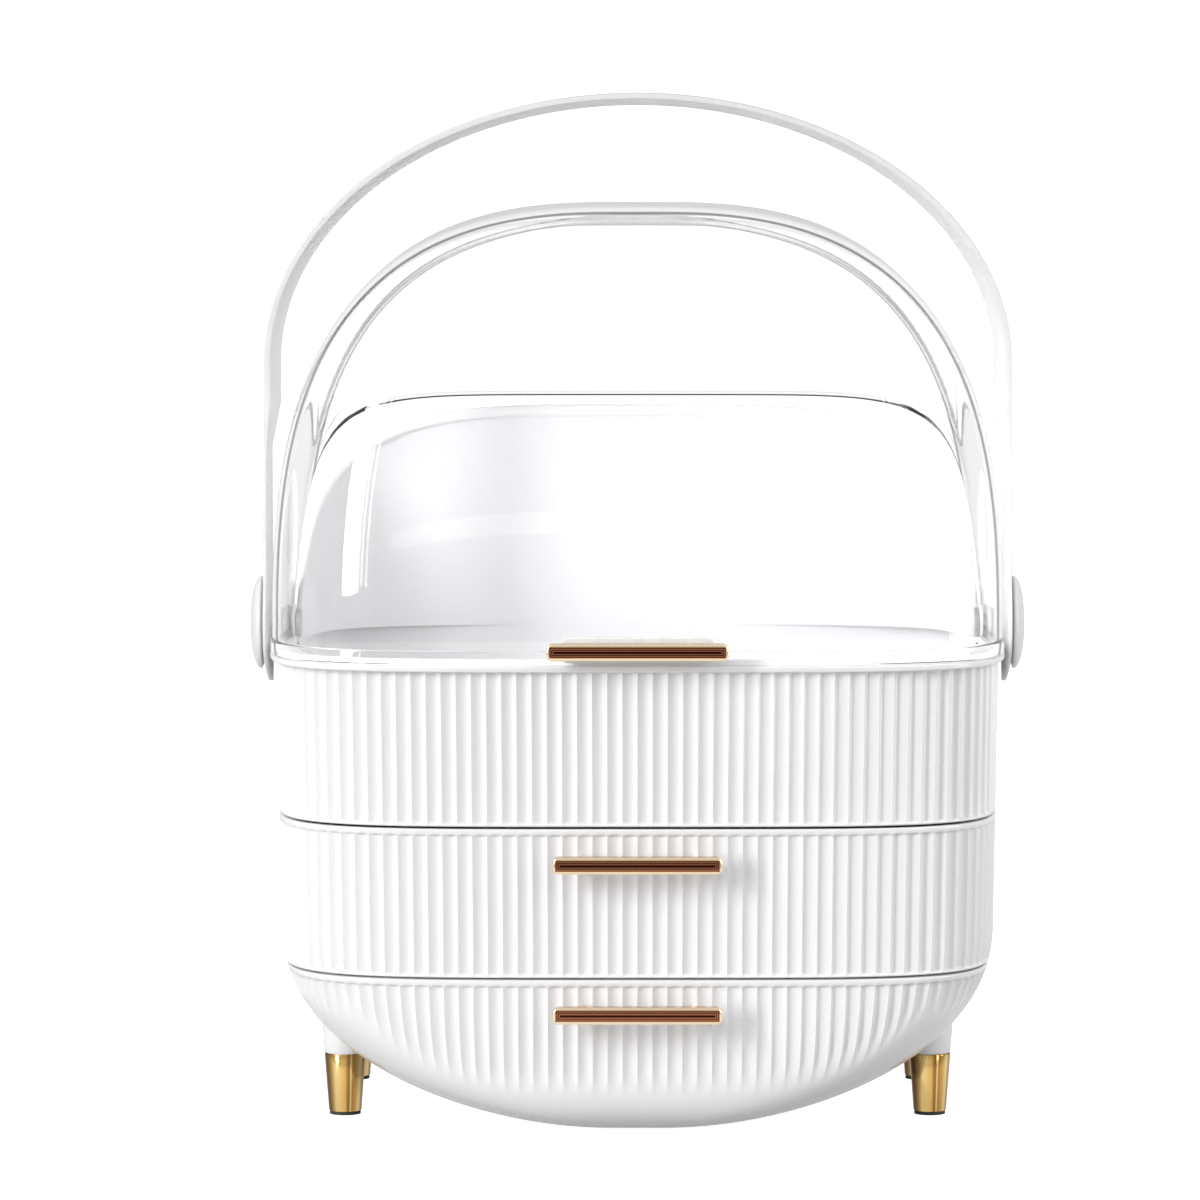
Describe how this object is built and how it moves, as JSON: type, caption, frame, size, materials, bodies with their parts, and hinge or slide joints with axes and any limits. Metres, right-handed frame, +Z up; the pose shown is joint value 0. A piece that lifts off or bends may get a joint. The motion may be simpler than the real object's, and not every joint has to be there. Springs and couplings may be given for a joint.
{
  "type": "makeup storage case",
  "caption": "Egg-shaped fluted cosmetics case with a clear domed lid, two drawers, four small feet and a swinging carry handle.",
  "frame": {"origin": "on the surface under the feet, below the middle of the whole object from pulls to rear lip", "axes": "+Z up, the drawers open towards -Y, the lid and handle pivot about X"},
  "size_m": [0.3104, 0.2254, 0.4072],
  "materials": {
    "shell_white": "gloss",
    "handle_white": "gloss",
    "tray_white": "satin",
    "clear_acrylic": "clear polished",
    "clear_plate": "clear polished",
    "pull_gold": "polished rose gold",
    "foot_gold": "polished gold",
    "pad_rubber": "matte",
    "pin_steel": "zinc plated",
    "washer_nylon": "matte"
  },
  "bodies": {
    "case": {"upper_bin": "shell_white", "rear_shield": "shell_white", "carcass_shell": "shell_white", "drawer_shelf": "tray_white", "pivot_cap_left": "handle_white", "pivot_cap_right": "handle_white", "pivot_pin_left": "pin_steel", "pivot_pin_right": "pin_steel", "pivot_washer_left": "washer_nylon", "pivot_washer_right": "washer_nylon", "bin_screws": "pin_steel", "foot_screws": "pin_steel", "foot_tip_front_left": "foot_gold", "foot_pad_front_left": "pad_rubber", "foot_tip_front_right": "foot_gold", "foot_pad_front_right": "pad_rubber", "foot_tip_rear_left": "foot_gold", "foot_pad_rear_left": "pad_rubber", "foot_tip_rear_right": "foot_gold", "foot_pad_rear_right": "pad_rubber"},
    "lid": {"lid_dome": "clear_acrylic", "lid_pull_plate": "clear_plate", "pull_bar_lid": "pull_gold", "pull_screws_lid": "pin_steel"},
    "handle": {"handle_bail": "handle_white"},
    "drawer_upper": {"drawer_front_upper": "shell_white", "drawer_tray_upper": "tray_white", "pull_bar_upper": "pull_gold", "pull_screws_upper": "pin_steel"},
    "drawer_lower": {"drawer_front_lower": "shell_white", "drawer_tray_lower": "tray_white", "pull_bar_lower": "pull_gold", "pull_screws_lower": "pin_steel"}
  },
  "joints": [
    {"name": "lid_hinge", "type": "hinge", "parent": "case", "child": "lid", "pos_m": [0, 0.0053, 0.1952], "axis": [-1, 0, 0], "range_deg": [0, 42]},
    {"name": "handle_hinge", "type": "hinge", "parent": "case", "child": "handle", "pos_m": [0, 0.0053, 0.1952], "axis": [-1, 0, 0], "range_deg": [-86, 86]},
    {"name": "upper_drawer_slide", "type": "slide", "parent": "case", "child": "drawer_upper", "axis": [0, -1, 0], "range_m": [0, 0.12]},
    {"name": "lower_drawer_slide", "type": "slide", "parent": "case", "child": "drawer_lower", "axis": [0, -1, 0], "range_m": [0, 0.11]}
  ]
}
